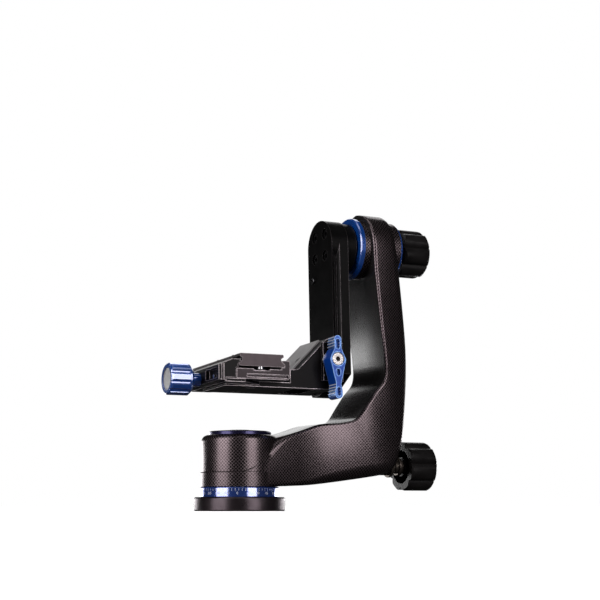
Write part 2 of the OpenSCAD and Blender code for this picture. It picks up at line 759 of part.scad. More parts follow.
gib_top = block_top - 3;
module height_gib()
    color([0.09, 0.09, 0.1]) swing()
    difference() {
        translate([0, 0, bracket_z + 6]) linear_extrude(gib_top - bracket_z - 6)
            polygon([
                [block_x - 12, -bracket_half - 0.4], [block_x, -bracket_half - 0.4], [rail_x + 0.4, -rail_half - 0.3],
                [rail_x + lip_start - 0.1, -rail_half + lip - 0.5], [rail_x + lip_start + 1.8, -rail_half + lip - 0.5],
                [rail_x + lip_start + 3.2, -rail_half - 0.4], [rail_x + jaw_grip - 1, -rail_half - 3.4],
                [rail_x + jaw_grip - 2, -rail_half - 5], [block_x - 12, -rail_half - 5]
            ]);
        rod_y(-rail_half - 6, -rail_half, 4.1, lever_x, lever_z);
    }

lever_back = lever_front + lever_thick;
lever_end_w = 2.95;                 // half width of the short arm
lever_foot_w = 3.25;                // half width of the long arm's end
lever_slot_r = 1.6;
lever_slots = [[9.4, 13.8], [-11.4, -9.2], [-27.2, -23.4]];
notch = [0.9, 1.1];                 // depth and height of the notches in the lever's edges
notch_pitch = 2.2;
notch_rim = 1.6;                    // thickness left whole behind the face

// Right-hand edge of the lever, from the top of its short arm to the end of its long arm.
lever_edge = concat(
    [for (a = [90 : -15 : 0]) [lever_end_w * cos(a), lever_up - lever_end_w + lever_end_w * sin(a)]],
    [[lever_end_w, 8], [5.8, 2.1], [6.5, 0.8], [6.7, 0], [6.6, -0.9], [6.2, -2.8], [2.15, -19.5], [lever_foot_w, -25]],
    [for (a = [0 : -15 : -90]) [lever_foot_w * cos(a), lever_foot_w - lever_down + lever_foot_w * sin(a)]]
);
module lever_outline()
    polygon(concat(lever_edge, [for (i = [len(lever_edge) - 2 : -1 : 1]) [-lever_edge[i][0], lever_edge[i][1]]]));

// Notches in one edge, one above the other.
module lever_notches(half_w, low)
    for (i = [0 : 3]) for (s = [-1, 1])
        translate([s * half_w - notch[0], low + i * notch_pitch, -1])
            cube([2 * notch[0], notch[1], lever_thick - notch_rim + 1]);

module height_lever()
    color([0.03, 0.22, 0.78]) swing()
    translate([lever_x, lever_back, lever_z]) rotate([90, 0, 0])
    difference() {
        linear_extrude(lever_thick) lever_outline();
        lever_notches(lever_end_w, 8.2);
        lever_notches(lever_foot_w, lever_foot_w - lever_down - 1);
        // slots in the face
        for (c = lever_slots) {
            for (y = c) translate([0, y, lever_thick - 3]) cylinder(h = 4, r = lever_slot_r);
            translate([-lever_slot_r, c[0], lever_thick - 3]) cube([2 * lever_slot_r, c[1] - c[0], 4]);
        }
        // seat of the screw
        translate([0, 0, lever_thick - 2.4]) cylinder(h = 4, r = 5.3);
        translate([0, 0, -1]) cylinder(h = lever_thick + 2, r = 4 + run_clear);
    }

module lever_screw()
    color([0.8, 0.8, 0.82]) swing()
    translate([lever_x, lever_front + 2.2, lever_z]) rotate([90, 0, 0])
        cap_screw(5, 2, 4, 36, 2);

module lever_washer()
    color([0.6, 0.6, 0.62]) swing()
    difference() {
        rod_y(lever_back + 0.1, -rail_half - 5.1, 7, lever_x, lever_z);
        rod_y(lever_back - 1, -rail_half - 4, 4.05, lever_x, lever_z);
    }

// ---- quick-release plate ----

plate_top = plate_z + plate_h;
module plate_side()
    polygon([
        [-plate_w / 2 + 1, plate_z], [plate_w / 2 - 1, plate_z], [plate_w / 2, plate_z + 1],
        [plate_w / 2, plate_z + 1.5], [plate_w / 2 - 3, plate_z + 4.4], [plate_w / 2 - 3, plate_top - 3.2],
        [plate_w / 2 - 1, plate_top - 2], [plate_w / 2 - 1, plate_top - 0.6], [plate_w / 2 - 1.6, plate_top],
        [-plate_w / 2 + 1.6, plate_top], [-plate_w / 2 + 1, plate_top - 0.6], [-plate_w / 2 + 1, plate_top - 2],
        [-plate_w / 2 + 3, plate_top - 3.2], [-plate_w / 2 + 3, plate_z + 4.4], [-plate_w / 2, plate_z + 1.5],
        [-plate_w / 2, plate_z + 1]
    ]);

screw_slots = [[2, 20], [36, 50]];  // where each long slot starts and ends, from the pan axis
camera_screw_y = [12, 42];
stop_y = [plate_y + 3, plate_y + plate_len - 4];

module quick_plate()
    color([0.1, 0.09, 0.1]) swing()
    difference() {
        translate([0, plate_y + plate_len, 0]) rotate([90, 0, 0]) linear_extrude(plate_len) plate_side();
        // long slots for the camera screws, wider below for their heads
        for (s = screw_slots) {
            for (y = s) {
                rod_z(plate_z - 1, plate_top + 1, slot_w / 2, 0, y);
                rod_z(plate_z - 1, plate_z + 5, 6.4, 0, y);
            }
            block([-slot_w / 2, s[0], plate_z - 1], [slot_w / 2, s[1], plate_top + 1]);
            block([-6.4, s[0], plate_z - 1], [6.4, s[1], plate_z + 5]);
        }
        // grooves for the rubber strips
        for (x = [-11, 11])
            block([x - 2.5, plate_y + 6, plate_top - 1], [x + 2.5, plate_y + plate_len - 6, plate_top + 1]);
        for (y = stop_y) rod_z(plate_z - 1, plate_z + 6, 1.55, 0, y);
    }

module plate_pads()
    color([0.12, 0.12, 0.12]) swing()
    for (x = [-11, 11])
        block([x - 2.4, plate_y + 6.1, plate_top - 1], [x + 2.4, plate_y + plate_len - 6.1, plate_top + 0.5]);

camera_screw_r = 3.175;
camera_neck_r = 2.5;
module camera_screws()
    color([0.7, 0.7, 0.72]) swing()
    for (y = camera_screw_y)
        translate([0, y, plate_z + 4.9]) difference() {
            union() {
                disc_z(-4.4, 0, 6, 0.4, 0.1);
                rod_z(-0.1, plate_h - 4.5, camera_neck_r);
                rod_z(plate_h - 4.6, plate_h - 4.9 + 5.5, camera_screw_r);
            }
            block([-7, -0.8, -5], [7, 0.8, -3]);
        }

module plate_stop_screws()
    color([0.85, 0.85, 0.87]) swing()
    for (y = stop_y)
        translate([0, y, plate_z - 0.05]) rotate([180, 0, 0]) cap_screw(2.5, 2.2, 1.5, 5, 1.2);

base_plate();
tripod_bush();
pan_spindle();
base_screws();
scale_ring();
spindle_nut();
arm();
pan_bearings();
bearing_spacer();
hub_cap();
level_housing();
level_vial();
pan_lock_boss();
tilt_bearings();
tilt_ring();
tilt_outer_ring();
pan_brake_shoe();
pan_lock_rod();
pan_lock_collar();
pan_lock_knob();
cradle_rail();
tilt_flange();
tilt_axle();
rail_screws();
rail_stop_screws();
tilt_lock_washer();
tilt_lock_nut();
tilt_lock_knob();
platform_bracket();
gusset_cover();
cover_screws();
clamp_base();
clamp_base_screws();
guide_pins();
clamp_jaw();
knob_collar();
clamp_bolt();
clamp_knob();
clamp_knob_cap();
height_gib();
height_lever();
lever_screw();
lever_washer();
quick_plate();
plate_pads();
camera_screws();
plate_stop_screws();
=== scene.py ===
import bpy
import bmesh
import math
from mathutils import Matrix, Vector


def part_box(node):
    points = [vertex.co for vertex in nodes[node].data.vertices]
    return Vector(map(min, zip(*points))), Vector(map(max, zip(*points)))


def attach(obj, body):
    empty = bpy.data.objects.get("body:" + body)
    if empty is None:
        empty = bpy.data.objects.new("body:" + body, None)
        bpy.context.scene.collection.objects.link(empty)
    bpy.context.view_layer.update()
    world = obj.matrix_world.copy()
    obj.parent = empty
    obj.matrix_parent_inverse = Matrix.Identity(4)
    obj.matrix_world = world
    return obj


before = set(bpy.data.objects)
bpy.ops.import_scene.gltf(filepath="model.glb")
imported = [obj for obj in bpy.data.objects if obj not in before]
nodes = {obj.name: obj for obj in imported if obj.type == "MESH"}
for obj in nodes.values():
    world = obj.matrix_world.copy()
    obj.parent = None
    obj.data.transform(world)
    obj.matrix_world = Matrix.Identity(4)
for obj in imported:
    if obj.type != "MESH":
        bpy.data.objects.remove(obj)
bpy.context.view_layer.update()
mm = 0.001
print("frame loaded:", len(nodes), "solids")


class Wire:  # one output of a shader node, used like a number
    def __init__(self, paint, socket):
        self.paint, self.socket = paint, socket

    def __add__(self, other): return self.paint.maths("ADD", self, other)
    def __radd__(self, other): return self.paint.maths("ADD", other, self)
    def __sub__(self, other): return self.paint.maths("SUBTRACT", self, other)
    def __rsub__(self, other): return self.paint.maths("SUBTRACT", other, self)
    def __mul__(self, other): return self.paint.maths("MULTIPLY", self, other)
    def __rmul__(self, other): return self.paint.maths("MULTIPLY", other, self)
    def __truediv__(self, other): return self.paint.maths("DIVIDE", self, other)
    def __rtruediv__(self, other): return self.paint.maths("DIVIDE", other, self)


class Paint:  # a material under construction
    def __init__(self, name, **fixed):
        self.material = bpy.data.materials.new(name)
        self.material.use_nodes = True
        self.tree = self.material.node_tree
        self.shader = self.tree.nodes["Principled BSDF"]
        self.set(**fixed)

    def set(self, **values):  # baseColor=..., roughness=... straight on the shader's own sockets
        for key, value in values.items():
            label = "".join(" " + c if c.isupper() else c for c in key)
            label = label[0].upper() + label[1:].replace("Ior", "IOR")
            self.feed(self.shader.inputs[label], value)
        return self

    def feed(self, socket, value):
        if isinstance(value, Wire):
            self.tree.links.new(value.socket, socket)
        elif isinstance(value, (tuple, list)) and len(value) == 3 and socket.type == "RGBA":
            socket.default_value = (*value, 1.0)
        else:
            socket.default_value = value

    def node(self, kind, settings=None, inputs=None, output=0):
        made = self.tree.nodes.new("ShaderNode" + kind)
        for key, value in (settings or {}).items():
            setattr(made, key, value)
        for key, value in (inputs or {}).items():
            self.feed(made.inputs[key], value)
        return Wire(self, made.outputs[output])

    def maths(self, operation, *values):
        return self.node("Math", {"operation": operation}, dict(enumerate(values)))

    def axes(self, output="Object"):  # the piece's own coordinates, in millimetres, or its normal
        coords = self.node("TexCoord", output=output)
        scale = 1000.0 if output == "Object" else 1.0
        split = self.node("SeparateXYZ", {}, {0: coords})
        return [Wire(self, s) * scale for s in split.socket.node.outputs]

    def step(self, value, low, high):  # 0 at low, 1 at high, smooth between; low may be the larger
        settings = {"interpolation_type": "SMOOTHSTEP"}
        return self.node("MapRange", settings, {0: value, 1: low, 2: high})

    def mix(self, share, a, b):
        return self.node("Mix", {"data_type": "RGBA"}, {0: share, 6: a, 7: b}, 2)

    def noise(self, size, detail=3.0):  # size in millimetres
        place = self.node("TexCoord", output="Object")
        scaled = self.node("Mapping", {}, {0: place, 3: (1000.0 / size,) * 3})
        values = {"Vector": scaled, "Scale": 1.0, "Detail": detail, "Roughness": 0.55}
        return self.node("TexNoise", {}, values)

    def edge(self, width):  # 1 along edges, 0 on flats; width in millimetres
        rounded = self.node("Bevel", {"samples": 6}, {"Radius": width * mm})
        flat = self.node("NewGeometry", output="Normal")
        likeness = self.node("VectorMath", {"operation": "DOT_PRODUCT"},
                             {0: rounded, 1: flat}, "Value")
        return self.step(likeness, 0.994, 0.94)  # likeness of the two normals on a flat, at an edge

    def bump(self, height, depth):  # depth in millimetres
        raised = self.node("Bump", {}, {"Strength": 1.0, "Distance": depth * mm, "Height": height})
        return self.set(normal=raised)


weave = {  # lengths in millimetres
    "cell": 1.85,            # distance between threads
    "dark": (0.050, 0.038, 0.041),
    "light": (0.205, 0.168, 0.176),
    "cloud": (0.05, 0.036, 0.04),    # soft duller patches
    "metallic": 0.96,
    "roughness": (0.22, 0.40),       # in the gaps, and on the threads
    "relief": 0.08,
    "hubRadius": 30.35,      # inside this the cloth runs round the hub
    "hubCloth": 29.5,        # radius on which the cloth is measured there
    "seamHeight": 29.0,
    "seamRise": 4.2,
    "seamBend": (-118, 28),  # degrees round the hub: where the seam starts to rise, and its span
    "seamEnd": (-86, -93),   # degrees between which it fades out
    "seamWidth": (0.5, 0.12),        # from its middle: where it starts and where it is full
    "faceOn": (0.66, 0.70),  # how far a face looks sideways where the cloth changes plane
    "seamTone": (0.004, 0.002, 0.002),
    "liner": (0.014, 0.013, 0.013),  # smooth lacquer on the inside of the bend
    "linerRoughness": 0.22,
    "linerFrom": (26, 32),   # from the hub's axis
    "linerFacing": (0.62, 0.70),     # how far a face looks up and inwards where the liner starts
    "linerSides": (0.42, 0.30),      # and how little sideways
    "levelFrom": (0.55, 0.85),       # how far a face looks up where the lacquer is thick
}


def carbonPaint():
    p = Paint("carbonCloth", coatWeight=0.12, coatRoughness=0.22)
    x, y, z = p.axes()
    nx, ny, nz = p.axes("Normal")
    sideways = p.maths("ABSOLUTE", ny)
    angle = p.maths("ARCTAN2", y, x)
    radius = p.maths("SQRT", x * x + y * y)
    onHub = p.step(radius, weave["hubRadius"], weave["hubRadius"] - 0.2)
    inside = (nz * 0.75 - nx) * (1 - onHub)
    liner = (p.step(inside, *weave["linerFacing"]) * p.step(x, *weave["linerFrom"])
             * p.step(sideways, *weave["linerSides"]))
    faceOn = p.step(sideways, *weave["faceOn"])
    along = x * faceOn + y * (1 - faceOn)
    across = z * faceOn + (x + z) * (1 - faceOn)
    along = along * (1 - onHub) + angle * weave["hubCloth"] * onHub
    across = across * (1 - onHub) + z * onHub
    side = weave["cell"] * math.sqrt(2)
    a = (along + across) / side * math.pi
    b = (along - across) / side * math.pi
    over = p.maths("SINE", a) * p.maths("SINE", b)
    hole = p.maths("ABSOLUTE", over)
    light = p.step(hole, 0.55, 0.08) * (0.9 + over * 0.2)
    threads = (p.maths("SINE", a * 7) * p.step(over, 0.0, 0.2)
               + p.maths("SINE", b * 7) * p.step(over, 0.0, -0.2))
    tone = p.mix(light, weave["dark"], weave["light"])
    tone = p.mix(p.step(p.noise(22, 3), 0.4, 0.8) * 0.18, tone, weave["cloud"])
    turn = p.maths("ARCTAN2", p.maths("ABSOLUTE", y) * -1, x) * (180 / math.pi)
    bend, bendSpan = weave["seamBend"]
    rise = p.maths("MAXIMUM", (turn - bend) / bendSpan, 0)
    seamZ = weave["seamHeight"] + rise * rise * weave["seamRise"]
    seam = (p.step(p.maths("ABSOLUTE", z - seamZ), *weave["seamWidth"]) * onHub
            * p.step(turn, *weave["seamEnd"]))
    tone = p.mix(seam * 0.85, tone, weave["seamTone"])
    smear = p.noise(14, 3)
    gap, thread = weave["roughness"]
    p.set(baseColor=p.mix(liner, tone, weave["liner"]),
          metallic=weave["metallic"] * (1 - liner),
          roughness=(gap + (thread - gap) * light + seam * 0.3) * (1 - liner)
          + (weave["linerRoughness"] + (smear - 0.5) * 0.1) * liner)
    level = p.step(nz, *weave["levelFrom"])  # thick, smooth lacquer on the faces that look up
    cloth = (threads * 0.02 - hole * 0.18) * (1 - liner) * (1 - level)
    return p.bump(cloth - seam * 2.0 + smear * liner * 0.3, weave["relief"]).material


plain = {"specular": 0.5, "coat": 0.0, "coatIor": 1.5}
anodised = {  # edge: the tone of the edges, which catch the light, painted on as a highlight, and edgeWidth in millimetres
    "black": dict(plain, tone=(0.005, 0.0045, 0.005), metallic=0.0, roughness=0.34, specular=0.10,
                  edge=(0.62, 0.56, 0.58), edgeWidth=0.8),
    "railBlack": dict(plain, tone=(0.004, 0.004, 0.004), metallic=0.0, roughness=0.30,
                      specular=0.07, edge=(0.12, 0.11, 0.115), edgeWidth=0.6),
    "plateGrey": dict(plain, tone=(0.060, 0.050, 0.053), metallic=0.9, roughness=0.42,
                      edge=(0.30, 0.27, 0.28), edgeWidth=0.6),
    "clampGrey": dict(plain, tone=(0.030, 0.025, 0.027), metallic=0.8, roughness=0.40, specular=0.4,
                      edge=(0.60, 0.54, 0.56), edgeWidth=0.8),
    "baseGrey": dict(plain, tone=(0.085, 0.070, 0.078), metallic=0.95, roughness=0.30,
                     edge=(0.20, 0.18, 0.19), edgeWidth=0.5),
    "grey": dict(plain, tone=(0.24, 0.24, 0.24), metallic=0.0, roughness=0.55, specular=0.3,
                 edge=(0.60, 0.60, 0.60), edgeWidth=0.4),
    "blue": dict(plain, tone=(0.002, 0.078, 0.42), metallic=0.35, roughness=0.24, coat=1.0,
                 coatIor=2.6, edge=(0.50, 0.62, 0.95), edgeWidth=0.7),
    "leverBlue": dict(plain, tone=(0.003, 0.066, 0.42), metallic=0.30, roughness=0.32, coat=1.0,
                      edge=(0.28, 0.52, 0.95), edgeWidth=1.7),
    "violet": dict(plain, tone=(0.030, 0.028, 0.085), metallic=0.8, roughness=0.28, coat=0.3,
                   edge=(0.12, 0.12, 0.30), edgeWidth=0.5),
    "brown": dict(plain, tone=(0.10, 0.085, 0.072), metallic=0.8, roughness=0.3,
                  edge=(0.40, 0.36, 0.32), edgeWidth=0.4),
}


# blasted grain and painted highlights along the edges, with turning marks across the lathe's axis
# and, where a crest mask is given, painted highlights on the crests
def anodisedPaint(name, look, lathe=None, grip=None):
    p = Paint(name, coatWeight=look["coat"], coatRoughness=0.13, coatIor=look["coatIor"],
              specularIorLevel=look["specular"])
    grain = p.noise(0.45, 2)
    broad = p.noise(14, 3)
    height = grain
    if lathe:
        x, y, z = p.axes()
        height = grain * 0.5 + p.maths("SINE", {"x": x, "z": z}[lathe] * 9) * 0.35
    # painted highlight along the edges, broken up by noise
    edgeHighlight = p.edge(look["edgeWidth"]) * p.step(p.noise(3, 3), 0.15, 0.55)
    tone = p.mix(p.step(broad, 0.3, 0.75), look["tone"], tuple(c * 1.35 for c in look["tone"]))
    highlightTone, highlightMetal = look["edge"], edgeHighlight * (0.9 - look["metallic"])
    if grip:
        # painted highlight on the lever's crests
        crestHighlight = grip(p)
        highlightTone = p.mix(crestHighlight, look["edge"], leverCrestHighlight["tone"])
        edgeHighlight = p.maths("MAXIMUM", edgeHighlight, crestHighlight)
        highlightMetal = highlightMetal * (1 - crestHighlight)
    # the base colour takes the painted edge highlight
    p.set(baseColor=p.mix(edgeHighlight, tone, highlightTone), metallic=look["metallic"] + highlightMetal,
          roughness=look["roughness"] + (broad - 0.5) * 0.12 + (grain - 0.5) * 0.08)
    return p.bump(height, 0.012).material


def nodeMiddle(name):  # the middle of a solid's box, in millimetres
    low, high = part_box(name)
    return [(low[i] + high[i]) / 2 / mm for i in range(3)]


leverCrestHighlight = {  # painted highlights on the crests between the notches in the lever's edges, in millimetres
    "starts": (8.2, -28.35),          # from the lever's axis to the first notch of each end
    "pitch": 2.2,
    "count": 4,
    "upright": (0.041876, 0.999123),  # the lever leans back with the cradle
    # the tone of the painted highlight on the crests
    "tone": (0.95, 0.98, 1.0),
}


def leverCrests(p):  # where the crest highlight is painted: 1 on the crests at the side, 0 elsewhere
    middle = nodeMiddle("lever_screw")
    x, y, z = p.axes()
    nx, ny, nz = p.axes("Normal")
    back, up = leverCrestHighlight["upright"]
    along = (y - middle[1]) * back + (z - middle[2]) * up
    crests = 0.0
    for start in leverCrestHighlight["starts"]:
        turns = (along - start) / leverCrestHighlight["pitch"]
        near = p.maths("ABSOLUTE", p.maths("FRACT", turns + 8) - 0.75)
        span = p.step(turns, 0, 0.1) * p.step(turns, leverCrestHighlight["count"], leverCrestHighlight["count"] - 0.1)
        crests = p.step(near, 0.22, 0.12) * span + crests
    return crests * p.step(p.maths("ABSOLUTE", ny), 0.5, 0.3)


def steelPaint(name, tone, roughness, lathe="x"):
    p = Paint(name, metallic=1.0)
    x, y, z = p.axes()
    place = {"x": x, "y": y, "z": z}[lathe]
    rings = p.maths("SINE", place * 14)
    scratch = p.noise(1.2, 4)
    p.set(baseColor=p.mix(p.step(scratch, 0.35, 0.8), tone, tuple(c * 0.8 for c in tone)),
          roughness=roughness + (scratch - 0.5) * 0.15)
    return p.bump(rings * 0.4 + scratch, 0.01).material


leverScrew = {
    "light": (0.74, 0.72, 0.69),
    "scratched": (0.58, 0.56, 0.54),
    # painted shade inside the hexagon socket
    "dark": (0.03, 0.025, 0.025),
    "socket": 3.4,           # radius round the hexagon inside which shade is painted, in millimetres
    "socketShadeFrom": (0.15, 0.6),       # depth at which the painted shade starts and is full
}


def leverScrewPaint():  # faced steel, with painted shade inside its hexagon socket
    middle, face = nodeMiddle("lever_screw"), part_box("lever_screw")[0].y / mm
    p = Paint("steelFaced", metallic=1.0)
    x, y, z = p.axes()
    across, up = x - middle[0], z - middle[2]
    radius = p.maths("SQRT", across * across + up * up)
    deep = p.step(y, *(face + depth for depth in leverScrew["socketShadeFrom"]))
    # painted shade in the socket's recess
    socket = p.step(radius, leverScrew["socket"], leverScrew["socket"] - 0.2) * deep
    scratch = p.noise(1.2, 4)
    tone = p.mix(p.step(scratch, 0.35, 0.8), leverScrew["light"], leverScrew["scratched"])
    p.set(baseColor=p.mix(socket, tone, leverScrew["dark"]),
          roughness=0.26 + socket * 0.3 + (scratch - 0.5) * 0.15)
    return p.bump(p.maths("SINE", radius * 9) * 0.5 + scratch, 0.01).material


starKnob = {  # lengths in millimetres
    "tone": (0.007, 0.0065, 0.0065),
    "smudged": (0.014, 0.013, 0.013),
    "roughness": 0.36,
    "grain": 0.6,
    "smudge": 16,
    "relief": 0.03,
}


def knobPaint():  # moulded knob, satin, with a fine leather-like grain
    p = Paint("mouldedBlack", coatWeight=0.10, coatRoughness=0.25, specularIorLevel=0.22)
    grain = p.noise(starKnob["grain"], 3)
    smudge = p.noise(starKnob["smudge"], 4)
    p.set(baseColor=p.mix(p.step(smudge, 0.35, 0.7), starKnob["tone"], starKnob["smudged"]),
          roughness=starKnob["roughness"] + (smudge - 0.5) * 0.15 + (grain - 0.5) * 0.1)
    return p.bump(grain, starKnob["relief"]).material


rubber = {
    "tone": (0.014, 0.014, 0.014),
    "dusty": (0.04, 0.038, 0.036),
    "roughness": 0.78,
    "ribs": 3.6,             # radians of their wave to a millimetre
    "relief": 0.2,           # millimetres
}


def rubberPaint():  # ribbed strips on the plate, a little dusty
    p = Paint("rubberStrip", roughness=rubber["roughness"])
    x, y, z = p.axes()
    ribs = p.step(p.maths("SINE", y * rubber["ribs"]), -0.4, 0.4)
    dust = p.noise(2.5, 4)
    p.set(baseColor=p.mix(p.step(dust, 0.4, 0.8) * 0.6, rubber["tone"], rubber["dusty"]))
    return p.bump(ribs + dust * 0.2, rubber["relief"]).material


vial = {  # lengths in millimetres
    "fluid": (0.55, 0.78, 0.08),
    "bubbleTone": (0.85, 0.95, 0.55),
    "bubblePlace": (1.2, -0.8),      # from the hub's axis
    "bubbleRadius": 2.0,
    "ringRadius": 3.1,
    "ringTone": (0.02, 0.02, 0.02),
}


def vialPaint():
    p = Paint("levelFluid", transmissionWeight=0.55, coatWeight=0.6, coatRoughness=0.05)
    x, y, z = p.axes()
    across, up = x - vial["bubblePlace"][0], y - vial["bubblePlace"][1]
    radius = p.maths("SQRT", across * across + up * up)
    bubble = p.step(p.maths("ABSOLUTE", radius - vial["bubbleRadius"]), 0.35, 0.15)
    fromAxis = p.maths("SQRT", x * x + y * y)
    ring = p.step(p.maths("ABSOLUTE", fromAxis - vial["ringRadius"]), 0.25, 0.12)
    tone = p.mix(bubble, vial["fluid"], vial["bubbleTone"])
    p.set(baseColor=p.mix(ring, tone, vial["ringTone"]), roughness=0.12 + ring * 0.3)
    return p.material


dial = {  # lengths in millimetres
    "tone": (0.045, 0.13, 0.60),
    "mark": (0.75, 0.80, 0.92),
    "degreesPerTick": 5.0,
    "labelEvery": 15,
    "labelHeight": 2.7,
    "labelTurn": -117,       # degrees round the ring, where the zero stands
    "labelDrop": 1.0,        # below the ring's middle
    "labelThick": 0.06,      # to each side of the letters' own plane
    "labelSunk": 0.03,       # how far that plane lies inside the ring
    "tickFoot": (15.0, 15.25),       # heights between which a tick fades in
    "tickTop": (17.1, 16.9),
    "tickLonger": 0.3,       # how much further down the ticks with a number reach
}


def dialPaint():  # blue ring with engraved white ticks along its upper edge
    p = Paint("scaleBlue", metallic=0.7, coatWeight=1.0, coatRoughness=0.10, coatIor=3.0)
    x, y, z = p.axes()
    degrees = p.maths("ARCTAN2", y, x) * (180 / math.pi) + 360
    near = p.maths("ABSOLUTE", p.maths("FRACT", degrees / dial["degreesPerTick"] + 0.5) - 0.5)
    nearLong = p.maths("ABSOLUTE", p.maths("FRACT", degrees / dial["labelEvery"] + 0.5) - 0.5)
    longer = p.step(nearLong, 0.045, 0.03) * dial["tickLonger"]
    foot = p.step(z, *(height - longer for height in dial["tickFoot"]))
    tick = p.step(near, 0.085, 0.06) * foot * p.step(z, *dial["tickTop"])
    grain = p.noise(0.5, 2)
    p.set(baseColor=p.mix(tick, dial["tone"], dial["mark"]),
          roughness=0.17 + tick * 0.3 + (grain - 0.5) * 0.06)
    return p.bump(grain * 0.5 - tick * 2, 0.02).material


finishes = {
    "carbon": carbonPaint(),
    "black": anodisedPaint("blackAnodised", anodised["black"]),
    "railBlack": anodisedPaint("railAnodised", anodised["railBlack"]),
    "plateGrey": anodisedPaint("plateAnodised", anodised["plateGrey"]),
    "clampGrey": anodisedPaint("clampAnodised", anodised["clampGrey"]),
    "baseGrey": anodisedPaint("baseTurned", anodised["baseGrey"], "z"),
    "grey": anodisedPaint("greyAnodised", anodised["grey"]),
    "blue": anodisedPaint("blueTurned", anodised["blue"], "x"),
    "leverBlue": anodisedPaint("blueAnodised", anodised["leverBlue"], grip=leverCrests),
    "violet": anodisedPaint("violetTurned", anodised["violet"]),
    "brown": anodisedPaint("brownTurned", anodised["brown"], "x"),
    "steelX": steelPaint("steelTurned", (0.66, 0.66, 0.68), 0.24),
    "steelY": steelPaint("steelTurnedY", (0.74, 0.72, 0.69), 0.26, "y"),
    "leverScrew": leverScrewPaint(),
    "steelZ": steelPaint("steelUpright", (0.66, 0.66, 0.68), 0.24, "z"),
    "darkSteel": steelPaint("steelBlackened", (0.10, 0.10, 0.105), 0.34, "z"),
    "bare": steelPaint("aluminiumBare", (0.80, 0.80, 0.82), 0.22),
    "facedCap": steelPaint("aluminiumFaced", (0.86, 0.86, 0.86), 0.46),
    "brass": steelPaint("brassTurned", (0.62, 0.44, 0.18), 0.28),
    "knob": knobPaint(),
    "rubber": rubberPaint(),
    "vial": vialPaint(),
    "dial": dialPaint(),
}
print("finishes made:", len(finishes))


dressing = {  # finish, width of the eased edges in millimetres
    "arm": ("carbon", 0.0),
    "base_plate": ("baseGrey", 0.3),
    "tripod_bush": ("steelZ", 0.2),
    "pan_spindle": ("steelZ", 0.2),
    "base_screws": ("darkSteel", 0.1),
    "scale_ring": ("dial", 0.15),
    "spindle_nut": ("brass", 0.15),
    "pan_bearings": ("steelZ", 0.1),
    "bearing_spacer": ("steelZ", 0.1),
    "hub_cap": ("violet", 0.25),
    "level_housing": ("bare", 0.1),
    "level_vial": ("vial", 0.1),
    "pan_lock_boss": ("brown", 0.2),
    "tilt_bearings": ("steelX", 0.1),
    "tilt_ring": ("blue", 0.2),
    "tilt_outer_ring": ("blue", 0.2),
    "pan_brake_shoe": ("brass", 0.1),
    "pan_lock_rod": ("steelX", 0.1),
    "pan_lock_collar": ("brown", 0.2),
    "pan_lock_knob": ("knob", 0.5),
    "cradle_rail": ("railBlack", 0.35),
    "tilt_flange": ("railBlack", 0.3),
    "tilt_axle": ("steelX", 0.2),
    "rail_screws": ("darkSteel", 0.1),
    "rail_stop_screws": ("darkSteel", 0.1),
    "tilt_lock_washer": ("brown", 0.15),
    "tilt_lock_nut": ("brass", 0.15),
    "tilt_lock_knob": ("knob", 0.5),
    "platform_bracket": ("black", 0.35),
    "gusset_cover": ("grey", 0.25),
    "cover_screws": ("darkSteel", 0.1),
    "clamp_base": ("clampGrey", 0.3),
    "clamp_base_screws": ("darkSteel", 0.1),
    "guide_pins": ("steelX", 0.1),
    "clamp_jaw": ("black", 0.3),
    "knob_collar": ("blue", 0.2),
    "clamp_bolt": ("steelX", 0.1),
    "clamp_knob": ("blue", 0.3),
    "clamp_knob_cap": ("facedCap", 0.1),
    "height_gib": ("black", 0.25),
    "height_lever": ("leverBlue", 0.35),
    "lever_screw": ("leverScrew", 0.15),
    "lever_washer": ("steelY", 0.1),
    "quick_plate": ("plateGrey", 0.3),
    "plate_pads": ("rubber", 0.15),
    "camera_screws": ("steelZ", 0.15),
    "plate_stop_screws": ("steelZ", 0.15),
}


edges = {
    "join": 0.002,           # millimetres between corners that are one
    "sharp": 32,             # degrees between faces, above which an edge stays sharp
    "eased": 38,             # degrees between faces, above which an edge is eased
}


# joins split corners and shades smooth, but for edges sharper than the limit
def softShading(limit):
    group = bpy.data.node_groups.new("softShading", "GeometryNodeTree")
    group.interface.new_socket("Geometry", in_out="INPUT", socket_type="NodeSocketGeometry")
    group.interface.new_socket("Geometry", in_out="OUTPUT", socket_type="NodeSocketGeometry")
    new, link = group.nodes.new, group.links.new
    start, end = new("NodeGroupInput"), new("NodeGroupOutput")
    normals, merge = new("GeometryNodeRemoveAttribute"), new("GeometryNodeMergeByDistance")
    soft, hard = new("GeometryNodeSetShadeSmooth"), new("GeometryNodeSetShadeSmooth")
    angle, compare = new("GeometryNodeInputMeshEdgeAngle"), new("FunctionNodeCompare")
    normals.inputs["Name"].default_value = "custom_normal"
    merge.inputs["Distance"].default_value = edges["join"] * mm
    soft.domain, hard.domain = "FACE", "EDGE"
    compare.data_type, compare.operation = "FLOAT", "GREATER_THAN"
    compare.inputs[1].default_value = math.radians(limit)
    hard.inputs["Shade Smooth"].default_value = False
    link(start.outputs[0], normals.inputs["Geometry"])
    link(normals.outputs[0], merge.inputs["Geometry"])
    link(merge.outputs[0], soft.inputs[0])
    link(soft.outputs[0], hard.inputs[0])
    link(angle.outputs["Unsigned Angle"], compare.inputs[0])
    link(compare.outputs[0], hard.inputs["Selection"])
    link(hard.outputs[0], end.inputs[0])
    return group


